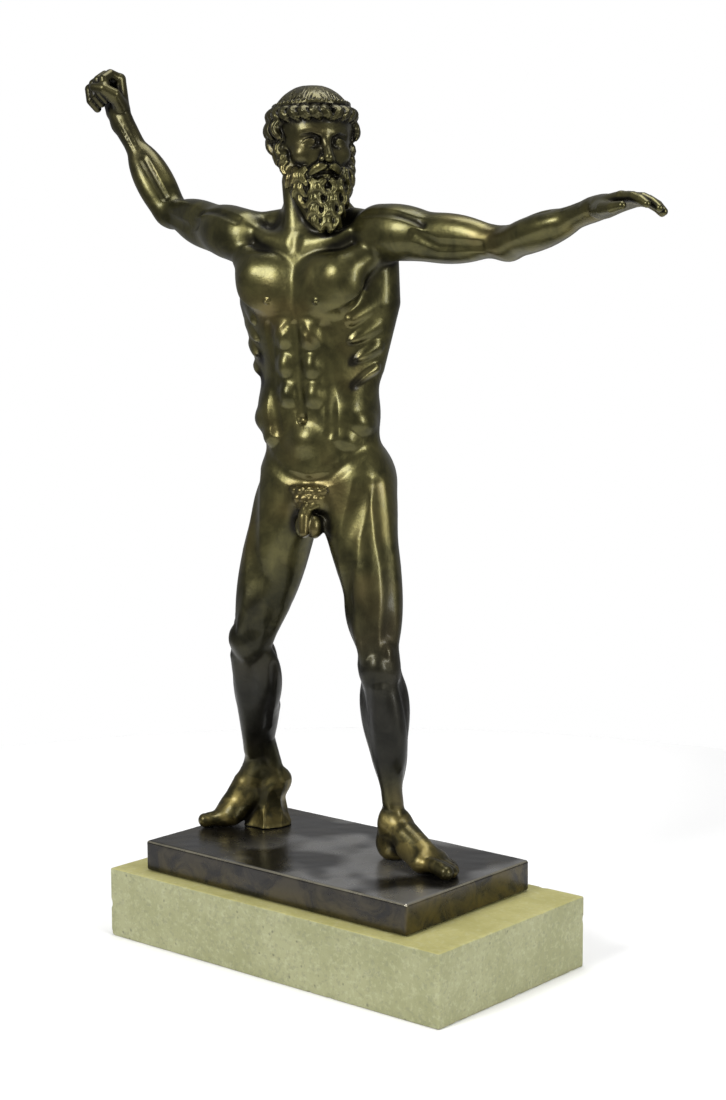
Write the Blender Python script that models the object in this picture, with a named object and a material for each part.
"""A striding sea god in bronze on a bronze base plate and a stone plinth.

The figure is worked out as a field, which is negative inside the bronze: masses, muscles and locks
are joined one after another with soft seams, then the surface where the field is nought is meshed
on a grid and thinned. Lengths of the figure are written in shares of a body STANDARD units tall
and scaled to FIGURE_HEIGHT. Metres, +Z up, the chest faces -Y and the stride runs along X.
"""

import bpy
import numpy as np

# sizes in metres
PLINTH_LENGTH = 0.190
PLINTH_WIDTH = 0.1015
PLINTH_HEIGHT = 0.0315
PLINTH_EDGE = 0.0009
PLATE_LENGTH = 0.1514
PLATE_WIDTH = 0.085
PLATE_HEIGHT = 0.0136
PLATE_EDGE = 0.0013
PLATE_SHIFT_X = -0.0037
PLATE_SHIFT_Y = -0.0005
STANCE_X = 0.0037
STANCE_Y = 0.0005
FIGURE_HEIGHT = 0.333
GAP = 0.0003

# the figure's own units
STANDARD = 333.0
CELL = 1.15
TILE = 20
FIGURE_TRIANGLES = 9300
UNIT = FIGURE_HEIGHT / STANDARD


def unit(vector):
    """The vector at length one."""
    vector = np.asarray(vector, float)
    return vector / np.linalg.norm(vector)


def axes_of(along, front):
    """Three rows: along, front made square to it, and the direction square to both."""
    first = unit(along)
    front = np.asarray(front, float)
    second = unit(front - first * np.dot(front, first))
    return np.array([first, second, np.cross(first, second)])


def leaning(axes, angle, first=0, second=2):
    """The axes with one turned toward another by an angle in degrees."""
    turn = np.radians(angle)
    out = np.array(axes, float)
    out[first] = axes[first] * np.cos(turn) + axes[second] * np.sin(turn)
    out[second] = axes[second] * np.cos(turn) - axes[first] * np.sin(turn)
    return out


def along_path(x, y, z, points, radii):
    """Distance to a path of straight pieces whose radius changes evenly between its points."""
    best = None
    for a, b, r, s in zip(points[:-1], points[1:], radii[:-1], radii[1:]):
        run = b - a
        px = x - a[0]
        py = y - a[1]
        pz = z - a[2]
        share = np.clip((px * run[0] + py * run[1] + pz * run[2]) / max(run @ run, 1e-9), 0, 1)
        away = np.sqrt((px - share * run[0]) ** 2 + (py - share * run[1]) ** 2
                       + (pz - share * run[2]) ** 2) - (r + (s - r) * share)
        best = away if best is None else np.minimum(best, away)
    return best


class Field:
    """A list of shapes, each joined to the ones before it, cut off flat below the floor."""

    def __init__(self, floor):
        self.shapes = []
        self.rooms = None
        self.floor = floor

    def _keep(self, low, high, how, soft, shape):
        room = 1.6 * soft + 3.0
        self.shapes.append((np.array(low) - room, np.array(high) + room, how, soft, shape))
        self.rooms = None

    def egg(self, centre, radii, axes=None, soft=3.0, how="join"):
        """An ellipsoid. Its radii run along the rows of axes."""
        centre = np.asarray(centre, float)
        radii = np.asarray(radii, float)
        axes = np.eye(3) if axes is None else np.asarray(axes, float)
        reach = np.sqrt(((axes * radii[:, None]) ** 2).sum(axis=0))

        def shape(x, y, z):
            px = x - centre[0]
            py = y - centre[1]
            pz = z - centre[2]
            near = np.zeros_like(x)
            slope = np.zeros_like(x)
            for row, radius in zip(axes, radii):
                part = (px * row[0] + py * row[1] + pz * row[2]) / radius
                near += part * part
                slope += (part / radius) ** 2
            near = np.sqrt(near)
            return near * (near - 1) / np.sqrt(slope + 1e-6)

        self._keep(centre - reach, centre + reach, how, soft, shape)

    def rod(self, points, radii, soft=2.0, how="join"):
        """A round bar along a path."""
        points = [np.asarray(p, float) for p in points]
        if np.isscalar(radii):
            radii = [radii] * len(points)
        wide = max(radii)

        def shape(x, y, z):
            return along_path(x, y, z, points, radii)

        self._keep(np.min(points, axis=0) - wide, np.max(points, axis=0) + wide, how, soft, shape)

    def swell(self, centre, radii, height, axes=None):
        """Raises the surface by a height inside an ellipsoid, fading to its rim. Negative hollows it."""
        centre = np.asarray(centre, float)
        radii = np.asarray(radii, float)
        axes = np.eye(3) if axes is None else np.asarray(axes, float)
        reach = np.sqrt(((axes * radii[:, None]) ** 2).sum(axis=0))

        def shape(x, y, z):
            px = x - centre[0]
            py = y - centre[1]
            pz = z - centre[2]
            near = np.zeros_like(x)
            for row, radius in zip(axes, radii):
                near += ((px * row[0] + py * row[1] + pz * row[2]) / radius) ** 2
            return height * np.maximum(1 - near, 0) ** 2

        self._keep(centre - reach, centre + reach, "raise", 0.0, shape)

    def stroke(self, points, wide, height):
        """Raises a ridge along a path, or sinks a groove where the height is negative."""
        points = [np.asarray(p, float) for p in points]

        def shape(x, y, z):
            near = along_path(x, y, z, points, [0.0] * len(points)) / wide
            return height * np.maximum(1 - near * near, 0) ** 2

        self._keep(np.min(points, axis=0) - wide, np.max(points, axis=0) + wide, "raise", 0.0, shape)

    def near(self, low, high):
        """The numbers of the shapes whose room meets the box from low to high, in order."""
        if self.rooms is None:
            self.rooms = (np.array([s[0] for s in self.shapes]), np.array([s[1] for s in self.shapes]))
        least, most = self.rooms
        return np.flatnonzero((least <= high).all(axis=1) & (most >= low).all(axis=1))

    def at(self, x, y, z, low=None, high=None):
        """The field at points, from the shapes whose room meets the box from low to high."""
        low = np.array([x.min(), y.min(), z.min()]) if low is None else low
        high = np.array([x.max(), y.max(), z.max()]) if high is None else high
        out = np.full_like(x, 9.0)
        for number in self.near(low, high):
            how, soft, shape = self.shapes[number][2:]
            value = shape(x, y, z)
            if how == "raise":
                out -= value
            elif how == "join":
                seam = np.maximum(soft - np.abs(out - value), 0)
                out = np.minimum(out, value) - seam * seam / (4 * soft)
            else:
                seam = np.maximum(soft - np.abs(out + value), 0)
                out = np.maximum(out, -value) + seam * seam / (4 * soft)
        return np.maximum(out, self.floor - z)


class Limb:
    """A bone from one joint to the next, with the side its muscles flex to and its outer side."""

    def __init__(self, start, end, front, outer):
        self.start = np.asarray(start, float)
        self.end = np.asarray(end, float)
        self.axes = axes_of(self.end - self.start, front)
        if np.dot(self.axes[2], outer) < 0:
            self.axes[2] = -self.axes[2]

    def point(self, share, front=0.0, outer=0.0):
        """A place at a share of the bone's length, moved to the front and the outer side."""
        return self.start + (self.end - self.start) * share + self.axes[1] * front + self.axes[2] * outer


# pose: places on the figure, from the sole up, with X and Y from the plinth's middle
CHEST_TURN = np.radians(13.0)
CHEST_LEFT = np.array([np.cos(CHEST_TURN), np.sin(CHEST_TURN), 0.0])
CHEST_FRONT = np.array([np.sin(CHEST_TURN), -np.cos(CHEST_TURN), 0.0])
UP = np.array([0.0, 0.0, 1.0])
SPINE_Z = [140.0, 165.0, 190.0, 215.0, 240.0, 262.0, 276.0]
SPINE_X = [-8.0, -9.3, -12.5, -14.5, -15.0, -15.5, -15.5]
SPINE_Y = [1.5, 1.5, 1.5, 1.0, 0.5, 0.0, -0.5]


def trunk(left, front, height):
    """A place on the trunk: steps to the figure's left and front of the spine at a height."""
    spine = np.array([np.interp(height, SPINE_Z, SPINE_X), np.interp(height, SPINE_Z, SPINE_Y), height])
    return spine + CHEST_LEFT * left + CHEST_FRONT * front


TRUNK = np.array([CHEST_LEFT, CHEST_FRONT, UP])
HEAD_TURN = np.radians(60.0)
HEAD = np.array([
    [np.cos(HEAD_TURN), np.sin(HEAD_TURN), 0.0],
    [np.sin(HEAD_TURN), -np.cos(HEAD_TURN), 0.0],
    [0.0, 0.0, 1.0],
])
HEAD_CENTRE = np.array([-13.0, -1.0, 308.0])


def face(left, front, height):
    """A place on the head, from the middle of the skull at the level of the eyes."""
    return HEAD_CENTRE + HEAD[0] * left + HEAD[1] * front + HEAD[2] * height


RIGHT_SHOULDER = trunk(-33.0, -1.0, 269.0)
RIGHT_ELBOW = np.array([-104.0, 3.0, 281.0])
RIGHT_WRIST = np.array([-131.0, -3.0, 325.0])
LEFT_SHOULDER = trunk(33.0, -1.0, 271.0)
LEFT_ELBOW = np.array([80.0, 13.0, 265.0])
LEFT_WRIST = np.array([129.0, 5.0, 278.0])
RIGHT_HIP = trunk(-15.5, -1.0, 163.0)
RIGHT_KNEE = np.array([-41.5, -13.5, 91.0])
RIGHT_ANKLE = np.array([-60.5, 9.5, 27.5])
LEFT_HIP = trunk(15.5, -1.0, 163.0)
LEFT_KNEE = np.array([24.8, -3.0, 84.5])
LEFT_ANKLE = np.array([28.0, 3.5, 17.0])
RIGHT_TOEWARD = unit([-0.74, -0.67, 0.0])
LEFT_TOEWARD = unit([0.985, -0.13, 0.0])
RIGHT_HEEL_TILT = 33.0
HEEL_TOP = np.array([-6.4, 0.0, -8.5])
ROCK_FACES = 17
ROCK_HOLLOW = 22.0


def build_trunk(f):
    """Rib cage, belly, pelvis and the muscles over them."""
    f.egg(trunk(0, 0, 240), (30, 18.5, 34), TRUNK)
    f.egg(trunk(0, 1, 204), (25, 15.5, 34), TRUNK, 7)
    f.egg(trunk(0, 0, 174), (26.5, 16.5, 26), TRUNK, 7)
    f.egg(trunk(0, 3, 160), (17, 13, 14), TRUNK, 5)
    f.egg(trunk(0, -6, 262), (28, 12, 14), TRUNK, 7)
    f.egg(trunk(0, 3, 264), (25, 9, 9), TRUNK, 6)
    for side in (-1, 1):
        f.egg(trunk(side * 13.5, -11, 165), (13.5, 12.0, 16.5), leaning(TRUNK, side * 8, 0, 2), 5)
        f.rod([trunk(side * 29.5, -5, 260), trunk(side * 28.5, -5, 241), trunk(side * 22, -4, 214),
               trunk(side * 15, -3, 196)], [8.8, 9.8, 8.6, 7.0], 6)
        f.egg(trunk(side * 17.0, 1, 192), (10.2, 13.4, 13), leaning(TRUNK, side * -8, 0, 2), 7)
        f.egg(trunk(side * 14.0, 12.6, 248), (16.2, 8.2, 14.2), leaning(TRUNK, side * 10, 0, 2), 2.2)
        f.rod([trunk(side * 20, 12, 252), trunk(side * 33, 3, 264)], [8.5, 6.0], 4)
        f.rod([trunk(side * 4, -6, 284), trunk(side * 14, -7, 275), trunk(side * 31, -4, 272)],
              [7.0, 6.5, 7.0], 5)
        f.rod([trunk(side * 6.5, -12.0, 172), trunk(side * 7, -11.0, 205), trunk(side * 8, -11.5, 240)],
              [6.0, 5.2, 5.0], 6)
        f.egg(trunk(side * 18, -15.0, 253), (11, 5, 15), leaning(TRUNK, side * 12, 0, 2), 6)
        f.rod([trunk(side * 4, 10.6, 265), trunk(side * 16, 9.3, 268), trunk(side * 31, 2, 274)],
              [2.0, 2.0, 3.0], 5)
    for side in (-1, 1):
        for height, tall in ((226.5, 6.4), (214, 6.2), (201.5, 6.4)):
            f.swell(trunk(side * 6.8, 16.6, height), (6.6, 8, tall), 1.9, TRUNK)
        for step in range(4):
            back = trunk(side * 31, 1, 241 - step * 9.5)
            f.stroke([back, trunk(side * 24.5, 11.5, 233.5 - step * 9.0)], 3.9, 1.9 - step * 0.15)
        f.stroke([trunk(side * 2.5, 21, 234.5), trunk(side * 13, 21, 232.8), trunk(side * 23, 17, 235),
                  trunk(side * 30, 10, 243)], 4.2, -2.3)
        f.stroke([trunk(side * 14, 17, 230), trunk(side * 14.8, 16.5, 208), trunk(side * 13.5, 16, 186)],
                 3.8, -1.5)
        f.swell(trunk(side * 26, 7, 190), (7, 10, 6.5), 1.7, leaning(TRUNK, side * -15, 0, 2))
        f.swell(trunk(side * 19, 13.5, 182.5), (9, 8, 5.5), 1.4, leaning(TRUNK, side * -28, 0, 2))
        f.stroke([trunk(side * 31, 0, 183), trunk(side * 27, 9, 179.5), trunk(side * 20, 14.5, 173),
                  trunk(side * 11, 17, 166.5), trunk(0, 17.5, 164)], 3.8, -2.6)
        f.swell(trunk(side * 11.5, 21, 241), (2.2, 3, 2.2), 0.8, TRUNK)
    f.stroke([trunk(0, 21, 260), trunk(0, 21, 236)], 3.4, -2.1)
    f.stroke([trunk(0, 18.5, 231), trunk(0, 17, 205), trunk(0, 16.5, 192)], 3.0, -2.0)
    for height in (220.3, 207.8, 195.4):
        f.stroke([trunk(-12, 18, height), trunk(12, 18, height)], 2.8, -1.1)
    f.swell(trunk(0, 16.5, 182), (12, 9, 9.5), 1.7, TRUNK)
    f.swell(trunk(0, 17.5, 191.2), (3.0, 6, 3.0), -2.9, TRUNK)
    f.stroke([trunk(0, -18, 175), trunk(0, -16, 200), trunk(0, -18, 235), trunk(0, -19, 262)], 5.0, -1.8)
    f.stroke([trunk(0, -30, 163), trunk(0, -24, 176)], 4.0, -2.5)


def build_loins(f):
    """The groin with its short curls."""
    f.egg(trunk(0, 14, 157), (9, 5, 6.5), TRUNK, 3)
    f.rod([trunk(0, 17, 154), trunk(0, 21, 150), trunk(0, 22, 143.5)], [3.0, 2.7, 2.2], 1.2)
    for side in (-1, 1):
        f.egg(trunk(side * 2.6, 17, 145.5), (3.6, 4.2, 5.2), TRUNK, 1.5)
    for row, (count, height) in enumerate(((5, 161), (4, 157.5), (3, 154))):
        for step in range(count):
            left = (step - (count - 1) / 2) * 3.6
            f.swell(trunk(left, 19 - abs(left) * 0.25, height), (2.3, 3.5, 2.2), 1.0, TRUNK)


def build_leg(f, hip, knee, ankle, heel, front, outer):
    """One leg down to the ankle: bone, muscles, knee cap and calf, with the tendon down to the heel."""
    thigh = Limb(hip, knee, front, outer)
    shin = Limb(knee, ankle, front, outer)
    a = thigh.axes
    f.rod([hip, thigh.point(0.45, 0, 0), thigh.point(0.85, 0, 0), knee], [15.5, 13.0, 9.4, 8.0], 5)
    f.egg(thigh.point(0.43, 5.0, 0.5), (33, 8.5, 9), a, 4)
    f.egg(thigh.point(0.50, 1.5, 6.5), (31, 9.5, 7.5), a, 3)
    f.egg(thigh.point(0.76, 2.5, -5.5), (15, 7, 6), leaning(a, 8, 0, 2), 2.5)
    f.egg(thigh.point(0.24, 0.5, -6.0), (26, 11, 10), leaning(a, 8, 0, 2), 5)
    f.egg(thigh.point(0.48, -5.5, 3.5), (31, 8.5, 7.5), a, 3)
    f.egg(thigh.point(0.48, -5.5, -3.5), (31, 8.5, 7.5), a, 3)
    f.rod([thigh.point(0.75, -7.5, 5.0), shin.point(0.10, -4.0, 6.0)], [3.0, 2.4], 3)
    f.rod([thigh.point(0.75, -7.5, -5.0), shin.point(0.12, -3.0, -5.5)], [3.0, 2.4], 3)
    f.egg(thigh.point(0.06, -0.5, 3.0), (22, 13, 9.5), a, 8)
    f.stroke([thigh.point(0.05, 16, 4), thigh.point(0.30, 14, -5), thigh.point(0.60, 8, -9.5),
              thigh.point(0.90, 2, -9)], 5.5, -1.2)
    f.stroke([thigh.point(0.05, 12, 9), thigh.point(0.45, 9.5, 9.5), thigh.point(0.86, 6.5, 6)], 5.0, -1.0)
    for side in (-1, 1):
        f.egg(thigh.point(0.975, 0.0, side * 3.4), (8.6, 6.6, 4.7), a, 4)
    cap = thigh.point(0.99, 6.6, 0)
    f.egg(cap, (5.4, 3.3, 4.4), axes_of(a[0] + shin.axes[0], a[1] + shin.axes[1]), 1.6)
    for side in (-1, 1):
        f.swell(thigh.point(0.90, 7.5, side * 6.0), (7.0, 5, 3.4), 0.9, a)
    b = shin.axes
    f.rod([knee, shin.point(0.35, 0.5, 0), shin.point(0.78, 0.3, 0), ankle], [7.3, 6.8, 4.5, 4.6], 3)
    f.rod([shin.point(0.10, 5.8, 0), shin.point(0.35, 4.6, -1.5), shin.point(0.85, 1.8, -0.8)],
          [3.2, 3.0, 2.6], 2.5)
    f.egg(shin.point(0.27, -6.2, -4.4), (18.0, 7.0, 6.6), b, 2.2)
    f.egg(shin.point(0.24, -6.0, 4.5), (16.0, 6.8, 6.2), b, 2.0)
    f.egg(shin.point(0.46, -3.6, 0), (22, 7.0, 8.4), b, 4)
    f.egg(shin.point(0.34, 2.0, 4.2), (21, 5.8, 5.0), b, 3)
    f.rod([shin.point(0.52, -7.5, 0), shin.point(0.78, -6.4, 0), heel], [4.6, 3.0, 3.4], 4)
    f.egg(shin.point(0.985, 0.5, -4.4), (4.4, 3.3, 2.1), b, 2.2)
    f.egg(shin.point(1.01, -0.6, 4.6), (4.4, 3.1, 2.1), b, 2.2)
    f.stroke([shin.point(0.12, -9, -9), shin.point(0.45, -6, -8.5), shin.point(0.62, -5, -6)], 3.0, -0.8)
    f.stroke([shin.point(0.10, -13, 0), shin.point(0.40, -13, 0)], 3.0, -0.9)
    f.stroke([shin.point(0.10, 2, 9), shin.point(0.55, -1.5, 9), shin.point(0.75, -1, 7)], 3.0, -0.7)


# each toe's place across the foot, length, thickness and how far behind the great toe it starts
TOES = ((4.9, 12.4, 3.3, 0.0), (0.6, 12.2, 2.4, 0.3), (-2.4, 11.0, 2.3, 1.2), (-5.2, 9.4, 2.2, 2.6),
        (-7.6, 7.8, 2.1, 4.4))


def foot_axes(toeward, inner, tilt):
    """The foot's ways forward, inward and up, with the heel raised by a tilt in degrees."""
    turn = np.radians(tilt)
    fore = toeward * np.cos(turn) - UP * np.sin(turn)
    rise = UP * np.cos(turn) + toeward * np.sin(turn)
    return np.array([fore, inner, rise])


def build_foot(f, ankle, toeward, inner, tilt, flat_toes):
    """A foot: the heel, the arch and the ball tilt together and the toes lie flat."""
    a = foot_axes(toeward, inner, tilt)
    fore, inner, rise = a

    def place(forward, inside, height):
        return ankle + fore * forward + inner * inside + rise * (height - 17.0)

    f.egg(place(-3.1, 0, 5.7), (5.9, 5.2, 6.0), a, 4)
    f.rod([place(-1, 0, 15), place(8, 0.6, 12.4), place(20, 0.8, 7.4)], [5.9, 6.3, 5.0], 5)
    f.rod([place(-6, -2.5, 4.4), place(8, -4.2, 4.0), place(20, -5.0, 3.6)], [4.2, 3.6, 3.4], 4)
    f.rod([place(10, 2.4, 7.2), place(21, 4.4, 4.8)], [4.6, 4.6], 3)
    f.egg(place(21.5, 0.2, 4.4), (6.8, 9.2, 4.5), a, 3)
    root = place(24.0, 0, 0)
    if flat_toes:
        root[2] = 0.0
        f.rod([place(20, 0.8, 7.0), root + inner * 0.5 + toeward * 5.0 + UP * 4.2], [5.0, 3.8], 3)
        f.rod([place(20, 3.4, 6.0), root + inner * 4.6 + toeward * 6.0 + UP * 4.0], [4.6, 3.6], 3)
    for inside, length, thick, back in TOES:
        start = root + inner * inside - toeward * back
        knuckle = start + toeward * length * 0.45 + UP * (thick + 1.3)
        tip = start + toeward * length + UP * thick * 0.95
        if flat_toes:
            lead = place(20.5 - back, inside * 0.95, 4.4)
        else:
            lead = start - toeward * 3 + UP * 4.2
        f.rod([lead, knuckle, tip], [thick, thick * 0.95, thick], 1.1)


def build_rock(f):
    """The rough rock under the raised heel: a short leaning cone, broken to hollow faces all round."""
    heel = RIGHT_ANKLE - RIGHT_TOEWARD * 7.0
    ground = np.array([heel[0], heel[1], 0.0])
    side = np.cross(UP, RIGHT_TOEWARD)
    f.rod([ground + RIGHT_TOEWARD * 1.2, ground + UP * 9.0, ground + UP * 17.5 - RIGHT_TOEWARD * 1.2],
          [10.6, 9.6, 7.4], 1.5)
    f.rod([ground + RIGHT_TOEWARD * 10.5, ground + UP * 12.0 + RIGHT_TOEWARD * 8.0], [5.6, 5.8], 2.0)
    for turn in range(ROCK_FACES):
        angle = turn * 2.4
        height = 2.5 + 14.0 * turn / ROCK_FACES
        away = RIGHT_TOEWARD * np.cos(angle) + side * np.sin(angle)
        middle = ground + UP * height + RIGHT_TOEWARD * 4.0 * max(np.cos(angle), 0.0)
        depth = 7.7 - 0.12 * height + 0.6 * np.sin(turn * 1.9)
        f.egg(middle + (away + UP * 0.12) * (depth + ROCK_HOLLOW), [ROCK_HOLLOW] * 3, None, 0.4, "cut")


def build_upper_arm(f, shoulder, elbow, front, outer):
    """Shoulder cap, biceps and triceps."""
    arm = Limb(shoulder, elbow, front, outer)
    a = arm.axes
    f.rod([shoulder, arm.point(0.5), elbow], [10.5, 8.6, 6.4], 4)
    f.egg(arm.point(0.16, 0.5, 1.5), (19, 11.5, 11.5), a, 4)
    f.egg(arm.point(0.56, 3.6, 0), (18.5, 6.4, 6.8), a, 2.5)
    f.egg(arm.point(0.48, -4.2, 0.8), (22, 6.8, 7.6), a, 3)
    f.egg(arm.point(0.98, -2.8, 0), (6.5, 4.2, 4.4), a, 2.5)
    f.egg(arm.point(0.97, 0, 4.2), (5.5, 3.6, 3.2), a, 2.5)
    f.egg(arm.point(0.98, 0, -4.6), (4.5, 3.4, 3.0), a, 2.5)
    f.stroke([arm.point(0.38, 4, 9.5), arm.point(0.55, 0, 9), arm.point(0.85, 0.5, 7.5)], 3.2, -1.2)
    f.stroke([arm.point(0.30, 3, -9), arm.point(0.80, 0.5, -8)], 3.2, -1.0)
    f.stroke([arm.point(-0.05, 10, 6), arm.point(0.2, 10, 6), arm.point(0.42, 6, 5)], 3.0, -0.8)


def build_forearm(f, elbow, wrist, front, outer, across):
    """The forearm, full at the elbow and flat at the wrist. Across is the wrist's broad way."""
    arm = Limb(elbow, wrist, front, outer)
    a = arm.axes
    f.rod([elbow, arm.point(0.4), arm.point(0.85), wrist], [6.4, 6.2, 4.2, 4.0], 3)
    f.egg(arm.point(0.28, 1.2, 3.6), (17.5, 5.8, 5.4), a, 3)
    f.egg(arm.point(0.30, 1.0, -3.4), (17.5, 5.8, 5.4), a, 3)
    f.egg(arm.point(0.36, -2.6, 0), (19, 4.8, 5.4), a, 3)
    flat = axes_of(wrist - elbow, across)
    f.egg(arm.point(0.90), (10, 5.4, 3.9), flat, 3)
    f.egg(arm.point(0.96) + flat[1] * 3.6, (3.4, 2.2, 2.6), flat, 2)
    f.egg(arm.point(0.94) - flat[1] * 3.6, (3.4, 2.2, 2.8), flat, 2)
    f.stroke([arm.point(0.1, 6.5, 0), arm.point(0.5, 6.5, 0)], 2.6, -0.8)


def build_open_hand(f, wrist, ahead, palm, thumbward):
    """A hand held out, its fingers lightly bent toward the palm."""
    axes = axes_of(ahead, thumbward)
    ahead, thumbward = axes[0], axes[1]
    palm = axes[2] if np.dot(axes[2], palm) > 0 else -axes[2]
    bends = ((10, 14, 10), (12, 16, 12), (15, 18, 13), (18, 20, 14))
    f.rod([wrist - ahead * 3, wrist + ahead * 4], [4.0, 4.2], 2.5)
    for finger, (offset, reach, length) in enumerate(((5.7, 17.0, 15.6), (1.9, 17.6, 17.2),
                                                      (-1.9, 16.8, 16.0), (-5.5, 15.2, 12.8))):
        root = wrist + ahead * 3 + thumbward * offset * 0.55
        knuckle = wrist + ahead * reach + thumbward * offset - palm * 0.4
        f.rod([root, knuckle], [3.4, 2.5], 2.2)
        turn = 0.0
        path = [knuckle]
        spread = thumbward * offset * 0.022
        for bend, share in zip(bends[finger], (0.44, 0.31, 0.25)):
            turn += np.radians(bend)
            way = ahead * np.cos(turn) + palm * np.sin(turn) + spread
            path.append(path[-1] + way * length * share)
        f.rod(path, [2.25, 2.15, 1.95, 1.55], 0.7)
    thumb = [wrist + ahead * forward + thumbward * sideways + palm * inward for forward, sideways, inward in
             ((4, 4.0, 1.5), (10.5, 9.0, 3.0), (17, 11.2, 4.0), (22.5, 11.6, 4.2))]
    f.rod(thumb, [3.4, 2.8, 2.3, 1.7], 1.6)
    f.egg(wrist + ahead * 8.5 + thumbward * 5.2 + palm * 2.6, (6.5, 4.0, 3.0),
          np.array([ahead, thumbward, palm]), 2)


def build_fist(f, wrist, ahead, palm, across):
    """A hand closed round an open grip, where a shaft was held. Across points to the thumb's side."""
    axes = axes_of(ahead, across)
    ahead, across = axes[0], axes[1]
    palm = axes[2] if np.dot(axes[2], palm) > 0 else -axes[2]

    def place(forward, inward, sideways):
        return wrist + ahead * forward + palm * inward + across * sideways

    f.rod([place(-3, 0, 0), place(4, -0.3, 0)], [4.0, 4.2], 2.5)
    for offset, reach in ((5.9, 15.6), (2.0, 16.2), (-1.9, 15.6), (-5.6, 14.4)):
        f.rod([place(3, 0, offset * 0.6), place(reach, -0.6, offset)], [3.4, 2.8], 2.0)
        path = [place(reach, -0.4, offset), place(reach + 2.6, 4.2, offset), place(reach + 0.6, 8.6, offset),
                place(reach - 4.8, 9.6, offset), place(reach - 8.6, 7.0, offset)]
        f.rod(path, [2.6, 2.3, 2.3, 2.1, 1.9], 0.7)
    thumb = [place(4, 2.0, 5.0), place(8.0, 6.4, 8.2), place(11.5, 10.6, 6.6), place(13.6, 12.4, 2.0)]
    f.rod(thumb, [3.4, 2.8, 2.4, 1.9], 1.4)


def build_head(f):
    """Skull, face, ears, cap of curls, headband and beard."""
    f.rod([trunk(0, -4, 262), face(0, -5, -14)], [13.5, 11.0], 6)
    for side in (-1, 1):
        f.rod([trunk(side * 3.0, 9.0, 266), face(side * 9, -4, -16)], [2.4, 3.2], 5)
    f.egg(face(0, -2, 5), (15.2, 18.2, 17.0), HEAD, 3)
    f.egg(face(0, 5.5, -6), (12.0, 11.5, 16.0), HEAD, 5)
    f.rod([face(-9.5, 1, -12), face(0, 11, -19), face(9.5, 1, -12)], [4.0, 4.4, 4.0], 4)
    f.rod([face(-9.0, 11.5, 4.0), face(-3.0, 15.6, 3.8), face(0, 16.0, 4.4), face(3.0, 15.6, 3.8),
           face(9.0, 11.5, 4.0)], [1.8, 1.9, 1.8, 1.9, 1.8], 2)
    for side in (-1, 1):
        f.egg(face(side * 6.0, 17.1, -0.3), (4.1, 4.0, 2.9), HEAD, 1.6, "cut")
        f.egg(face(side * 5.9, 12.2, -0.5), (3.4, 2.8, 2.3), HEAD, 0.7)
        f.egg(face(side * 8.6, 10.0, -5.0), (4.0, 4.2, 3.4), HEAD, 3)
    f.rod([face(0, 15.4, 3.0), face(0, 17.6, -2.5), face(0, 19.9, -6.8)], [1.5, 1.7, 2.1], 1.5)
    for side in (-1, 1):
        f.egg(face(side * 2.2, 16.8, -7.4), (1.5, 2.3, 1.5), HEAD, 1.0)
    f.rod([face(-4.0, 14.6, -12.2), face(0, 16.6, -11.6), face(4.0, 14.6, -12.2)], [0.8, 1.2, 0.8], 0.8)
    f.rod([face(-3.6, 14.4, -13.6), face(0, 16.2, -14.2), face(3.6, 14.4, -13.6)], [0.8, 1.4, 0.8], 0.8)
    for side in (-1, 1):
        f.egg(face(side * 14.8, -0.5, -5.0), (2.4, 3.4, 5.0), HEAD, 1.0)
        f.swell(face(side * 17.0, -0.1, -4.6), (2.0, 1.9, 3.2), -1.3, HEAD)


def on_hair(turn, lift):
    """A place on the cap of hair and its outward way, from a turn about Z and a lift."""
    way = np.array([np.sin(turn) * np.cos(lift), np.cos(turn) * np.cos(lift), np.sin(lift)])
    radii = np.array([17.6, 20.6, 18.4])
    place = way * radii
    outward = unit(place / radii ** 2)
    return face(place[0], place[1] - 2.6, place[2] + 5.6), outward @ HEAD


def cord_lift(turn):
    """How high the cord round the hair sits, from a turn about Z."""
    return np.radians(30 + 5 * np.cos(turn))


# rows of locks: the lifts where they start and end in degrees, how many go round, how far forward they come
LOCK_ROWS = ((26, 9, 24, 2.0), (10, -14, 22, 0.34), (-8, -34, 20, -0.05), (-28, -56, 14, -0.30))


def lock_paths(sideways=0.0, steps=6):
    """Paths of the locks below the cord. Each runs down the cap and swings to alternate sides in an S."""
    found = []
    for row, (top, foot, around, forward) in enumerate(LOCK_ROWS):
        for step in range(around):
            turn = 2 * np.pi * (step + 0.5 * (row % 2)) / around
            if np.cos(turn) > forward:
                continue
            hand = 1 if np.sin(turn) > 0 else -1
            path = []
            for share in np.linspace(0, 1, steps):
                lift = np.radians(top + (foot - top) * share + 4 * np.cos(turn) * share * (row == 0))
                swing = hand * 0.075 * np.sin(share * 4.4) + sideways * (1 - 0.45 * share) / 18.0
                place, outward = on_hair(turn + swing, lift)
                path.append(place + outward * (1.3 * np.sin(share * 2.9) - 0.7))
            found.append(path)
    return found


def build_hair(f):
    """The cap of combed hair, the cord round it, the locks below it and the full beard."""
    f.egg(face(0, -2.8, 6.0), (16.9, 19.8, 17.7), HEAD, 1.5)
    f.egg(face(0, -12.0, -6.0), (12.5, 9.0, 11.0), HEAD, 3)
    around = 28
    for step in range(around):
        turn = 2 * np.pi * step / around
        path = [on_hair(turn, np.radians(lift))[0] for lift in (38, 52, 66, 78)]
        f.stroke(path, 1.9, -0.8)
    for path in lock_paths():
        f.rod(path, [2.0, 2.3, 2.4, 2.2, 1.8, 1.2], 0.8)
    ring = [on_hair(turn, cord_lift(turn))[0] for turn in np.linspace(0, 2 * np.pi, around + 1)]
    for start, end in zip(ring[:-1], ring[1:]):
        f.rod([start, end], 1.5, 0.3)
    build_beard(f)


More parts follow.
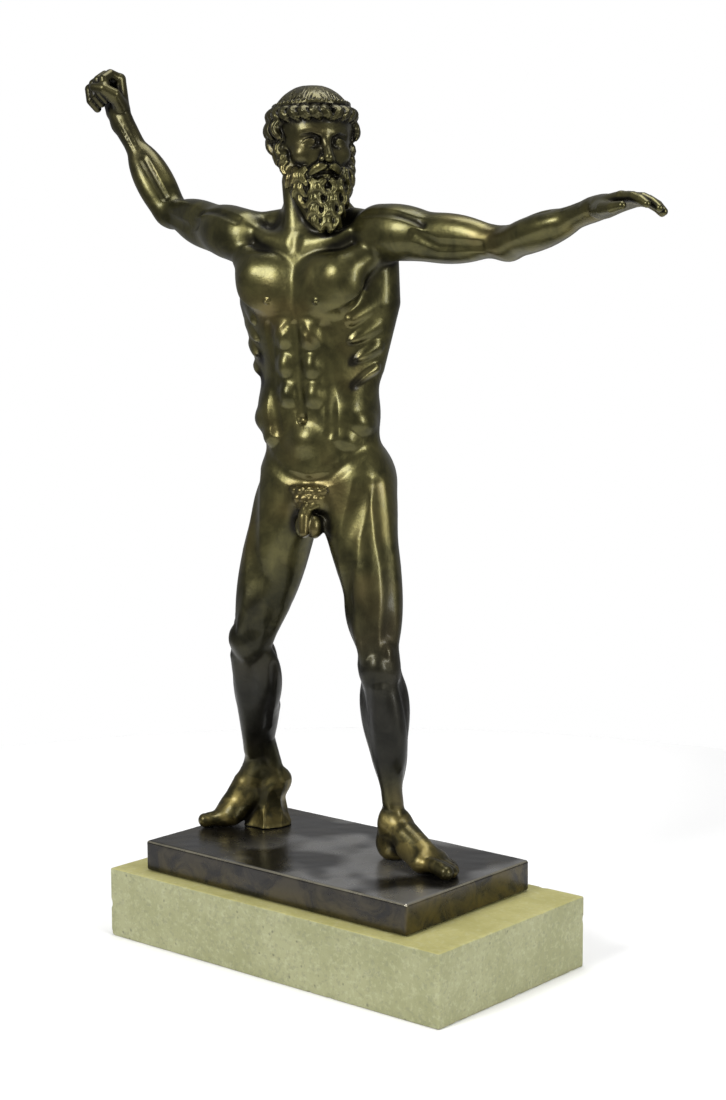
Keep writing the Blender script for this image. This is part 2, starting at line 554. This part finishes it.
def beard_places():
    """Where locks hang on the beard, row by row from the cheeks down, with their outward way and number."""
    found = []
    for row in range(5):
        height = -14.5 - row * 4.6
        wide = 1.25 - 0.19 * row
        count = 9 - row
        for step in range(count):
            turn = wide * (2 * step / (count - 1) - 1) * 1.25
            if row == 0 and abs(turn) < 0.55:
                continue
            radius_left = 12.6 - row * 1.5
            radius_front = 9.6 - row * 0.5
            place = face(radius_left * np.sin(turn), 6.8 + row * 1.1 + radius_front * np.cos(turn), height)
            outward = unit([np.sin(turn) / radius_left, np.cos(turn) / radius_front, 0.0]) @ HEAD
            found.append((place, outward, row + step))
    for side in (-1, 1):
        for step in range(4):
            place = face(side * (15.0 - step * 0.7), 2.0 + step * 1.8, -2.5 - step * 4.2)
            found.append((place, unit([side * 1.0, 0.25, 0.0]) @ HEAD, step))
    return found


def build_beard(f):
    """Beard and moustache in rows of short locks hanging from the jaw."""
    f.egg(face(0, 9.0, -22.5), (10.5, 8.2, 10.5), HEAD, 3)
    f.egg(face(0, 11.0, -29.0), (7.0, 6.4, 7.5), HEAD, 3)
    for side in (-1, 1):
        f.rod([face(side * 13.4, 1.5, -3.5), face(side * 11.4, 4.5, -12.0), face(side * 7.6, 9.0, -20)],
              [2.2, 4.0, 5.4], 3)
        f.rod([face(side * 1.2, 18.0, -10.2), face(side * 4.6, 16.2, -11.2), face(side * 7.6, 12.8, -15.0)],
              [1.3, 1.7, 1.5], 0.8)
    for place, outward, number in beard_places():
        f.rod(lock_down(place, outward, number), [1.9, 2.2, 2.2, 1.8, 1.2], 0.8)


def lock_down(place, outward, number, sideways=0.0):
    """The path of a hanging lock: down in an S and out, then in at its tip."""
    across = np.cross(UP, outward)
    hand = 1 if number % 2 else -1
    path = []
    for share in np.linspace(0, 1, 5):
        swing = hand * 1.3 * np.sin(share * 4.6) + sideways * (1 - 0.45 * share)
        bow = 1.1 * np.sin(share * 3.0) - 0.6
        path.append(place + across * swing + outward * bow + UP * (2.6 - 6.6 * share))
    return path


def figure_field():
    """The whole figure."""
    f = Field(0.0)
    build_rock(f)
    build_trunk(f)
    build_loins(f)
    right_knee_front = unit([-0.62, -0.78, 0.0])
    left_knee_front = unit([0.55, -0.83, 0.0])
    right_outer = unit([-0.78, 0.62, 0.0])
    left_outer = unit([0.83, 0.55, 0.0])
    right_inner = np.array([-RIGHT_TOEWARD[1], RIGHT_TOEWARD[0], 0.0])
    left_inner = np.array([LEFT_TOEWARD[1], -LEFT_TOEWARD[0], 0.0])
    right_heel = RIGHT_ANKLE + foot_axes(RIGHT_TOEWARD, right_inner, RIGHT_HEEL_TILT).T @ HEEL_TOP
    left_heel = LEFT_ANKLE + foot_axes(LEFT_TOEWARD, left_inner, 0.0).T @ HEEL_TOP
    build_leg(f, RIGHT_HIP, RIGHT_KNEE, RIGHT_ANKLE, right_heel, right_knee_front, right_outer)
    build_leg(f, LEFT_HIP, LEFT_KNEE, LEFT_ANKLE, left_heel, left_knee_front, left_outer)
    build_foot(f, RIGHT_ANKLE, RIGHT_TOEWARD, right_inner, RIGHT_HEEL_TILT, True)
    build_foot(f, LEFT_ANKLE, LEFT_TOEWARD, left_inner, 0.0, False)
    right_fore = RIGHT_WRIST - RIGHT_ELBOW
    left_fore = LEFT_WRIST - LEFT_ELBOW
    build_upper_arm(f, RIGHT_SHOULDER, RIGHT_ELBOW, right_fore, (0, -1, 0))
    build_upper_arm(f, LEFT_SHOULDER, LEFT_ELBOW, (0, -0.4, 1), (0, -1, 0))
    build_forearm(f, RIGHT_ELBOW, RIGHT_WRIST, (0.6, -0.7, 0.3), (-0.6, -0.6, -0.4), (0.95, -0.1, 0.25))
    build_forearm(f, LEFT_ELBOW, LEFT_WRIST, (0, -0.3, 1), (0, -1, -0.2), (0.2, -0.9, 0.1))
    build_fist(f, RIGHT_WRIST, unit(right_fore) * 0.6 + np.array([0.05, 0.0, 0.5]), (0, -1, 0),
               (0.95, -0.1, 0.25))
    build_open_hand(f, LEFT_WRIST, unit(left_fore) + np.array([0.0, 0.0, -0.10]), (0.1, -0.15, -1),
                    (0.15, -1, 0.1))
    build_head(f)
    build_hair(f)
    return f


CORNERS = np.array([(i & 1, (i >> 1) & 1, (i >> 2) & 1) for i in range(8)])


def cube_cases():
    """For each of the 256 ways that a cube's corners lie inside or out, its loops of crossed edges."""
    edges = []
    for low in range(8):
        for axis in range(3):
            high = low | (1 << axis)
            if high != low:
                edges.append((low, high, axis))
    number = {frozenset(edge[:2]): i for i, edge in enumerate(edges)}
    faces = []
    for axis in range(3):
        one, two = (axis + 1) % 3, (axis + 2) % 3
        for value in (0, 1):
            ring = [(0, 0), (1, 0), (1, 1), (0, 1)]
            if value == 0:
                ring.reverse()
            faces.append([(value << axis) | (a << one) | (b << two) for a, b in ring])
    cases = []
    for case in range(256):
        inside = [(case >> i) & 1 for i in range(8)]
        following = {}
        for ring in faces:
            for start in range(4):
                if inside[ring[start]] or not inside[ring[(start + 1) % 4]]:
                    continue
                end = (start + 1) % 4
                while inside[ring[(end + 1) % 4]]:
                    end = (end + 1) % 4
                enters = number[frozenset((ring[start], ring[(start + 1) % 4]))]
                leaves = number[frozenset((ring[end], ring[(end + 1) % 4]))]
                following[enters] = leaves
        loops = []
        while following:
            first, now = following.popitem()
            loop = [first]
            while now != first:
                loop.append(now)
                now = following.pop(now)
            loops.append(loop)
        cases.append(loops)
    return edges, cases


def surface(field, low, high, cell):
    """Meshes the nought surface of the field by marching a grid of cubes, tile by tile."""
    edges, cases = cube_cases()
    count = np.ceil((np.asarray(high) - low) / cell / TILE).astype(int) * TILE + 1
    tiles = [(i, j, k) for i in range(0, count[0] - 1, TILE) for j in range(0, count[1] - 1, TILE)
             for k in range(0, count[2] - 1, TILE)]
    span = np.arange(TILE + 1)
    grid = np.stack(np.meshgrid(span, span, span, indexing="ij"), axis=-1).reshape(-1, 3)
    side = TILE + 1
    keys, places, cell_keys, cell_cases = [], [], [], []
    stride = np.array([1, count[0] + 1, (count[0] + 1) * (count[1] + 1)], np.int64)
    for tile in tiles:
        start = np.asarray(low) + np.array(tile) * cell
        end = start + TILE * cell
        if len(field.near(start, end)) == 0:
            continue
        points = (grid * cell + start).astype(np.float32)
        values = field.at(points[:, 0].copy(), points[:, 1].copy(), points[:, 2].copy(), start, end)
        inside = values < 0
        if inside.all() or not inside.any():
            continue
        box = values.reshape(side, side, side)
        within = inside.reshape(side, side, side)
        case = np.zeros((TILE, TILE, TILE), int)
        for i, (dx, dy, dz) in enumerate(CORNERS):
            case |= within[dx:dx + TILE, dy:dy + TILE, dz:dz + TILE].astype(int) << i
        active = np.argwhere((case > 0) & (case < 255))
        if len(active) == 0:
            continue
        cell_cases.append(case[tuple(active.T)])
        cell_keys.append((active + tile) @ stride)
        for axis in range(3):
            lower = [slice(0, side)] * 3
            upper = [slice(0, side)] * 3
            lower[axis] = slice(0, TILE)
            upper[axis] = slice(1, side)
            crossed = np.argwhere(within[tuple(lower)] != within[tuple(upper)])
            step = np.zeros(3, int)
            step[axis] = 1
            first = box[tuple(crossed.T)]
            second = box[tuple((crossed + step).T)]
            share = np.clip(first / (first - second), 0.08, 0.92)
            place = crossed + tile + step * share[:, None]
            keys.append(((crossed + tile) @ stride) * 3 + axis)
            places.append(place)
    keys = np.concatenate(keys)
    places = np.concatenate(places)
    keys, first = np.unique(keys, return_index=True)
    places = places[first]
    cell_keys = np.concatenate(cell_keys)
    cell_cases = np.concatenate(cell_cases)
    triangles = []
    extra = []
    extra_count = len(places)
    offsets = np.array([(CORNERS[low] @ stride) * 3 + axis for low, high, axis in edges])
    for case in np.unique(cell_cases):
        base = cell_keys[cell_cases == case] * 3
        for loop in cases[case]:
            ring = np.stack([np.searchsorted(keys, base + offsets[edge]) for edge in loop], axis=1)
            if len(loop) < 6:
                for step in range(1, len(loop) - 1):
                    triangles.append(ring[:, [0, step, step + 1]])
                continue
            extra.append(places[ring].mean(axis=1))
            hub = np.arange(extra_count, extra_count + len(ring))
            extra_count += len(ring)
            for step in range(len(loop)):
                triangles.append(np.stack([hub, ring[:, step], ring[:, (step + 1) % len(loop)]], axis=1))
    points = np.concatenate([places] + extra) * cell + low
    faces = np.concatenate(triangles)
    corners = points[faces]
    if np.einsum("ij,ij->i", corners[:, 0], np.cross(corners[:, 1], corners[:, 2])).sum() < 0:
        faces = faces[:, ::-1]
    return points, faces


def clear_scene():
    """Removes whatever the scene starts with."""
    for obj in list(bpy.data.objects):
        bpy.data.objects.remove(obj, do_unlink=True)


def material(name, colour, roughness, metallic):
    """A plain material with one colour."""
    made = bpy.data.materials.new(name)
    made.use_nodes = True
    shader = made.node_tree.nodes["Principled BSDF"]
    shader.inputs["Base Color"].default_value = (*colour, 1.0)
    shader.inputs["Roughness"].default_value = roughness
    shader.inputs["Metallic"].default_value = metallic
    made.diffuse_color = (*colour, 1.0)
    return made


def put(name, points, faces, made):
    """An object from points in metres and its faces."""
    mesh = bpy.data.meshes.new(name)
    mesh.from_pydata(points.tolist(), [], faces.tolist())
    mesh.update()
    mesh.materials.append(made)
    obj = bpy.data.objects.new(name, mesh)
    bpy.context.collection.objects.link(obj)
    return obj


def block(name, length, width, height, edge, place, made):
    """A square block standing on its underside, its edges eased except below."""
    points = []
    for z in (0.0, height):
        for x, y in ((-1, -1), (1, -1), (1, 1), (-1, 1)):
            points.append((x * length / 2, y * width / 2, z))
    faces = [(0, 3, 2, 1), (4, 5, 6, 7), (0, 1, 5, 4), (1, 2, 6, 5), (2, 3, 7, 6), (3, 0, 4, 7)]
    obj = put(name, np.array(points), np.array(faces), made)
    obj.location = place
    ease = obj.modifiers.new("eased edges", "BEVEL")
    ease.width = edge
    ease.segments = 2
    ease.limit_method = "ANGLE"
    ease.angle_limit = np.radians(30)
    return obj


def build():
    """The three pieces, each in its place."""
    clear_scene()
    bronze = material("patinated_bronze", (0.045, 0.035, 0.018), 0.32, 0.9)
    plate_bronze = material("plate_bronze", (0.035, 0.028, 0.020), 0.30, 0.9)
    stone = material("pale_stone", (0.55, 0.53, 0.38), 0.55, 0.0)
    block("stone_plinth", PLINTH_LENGTH, PLINTH_WIDTH, PLINTH_HEIGHT, PLINTH_EDGE, (0, 0, 0), stone)
    plate_foot = PLINTH_HEIGHT + GAP
    block("base_plate", PLATE_LENGTH, PLATE_WIDTH, PLATE_HEIGHT, PLATE_EDGE,
          (PLATE_SHIFT_X, PLATE_SHIFT_Y, plate_foot), plate_bronze)
    field = figure_field()
    low = np.min([s[0] for s in field.shapes], axis=0)
    low[2] = -1.5 * CELL
    high = np.max([s[1] for s in field.shapes], axis=0)
    points, faces = surface(field, low, high, CELL)
    obj = put("figure", points * UNIT, faces, bronze)
    obj.location = (PLATE_SHIFT_X + STANCE_X, PLATE_SHIFT_Y + STANCE_Y, plate_foot + PLATE_HEIGHT + GAP)
    thin = obj.modifiers.new("thinned", "DECIMATE")
    thin.ratio = min(1.0, FIGURE_TRIANGLES / len(faces))
    return obj


build()
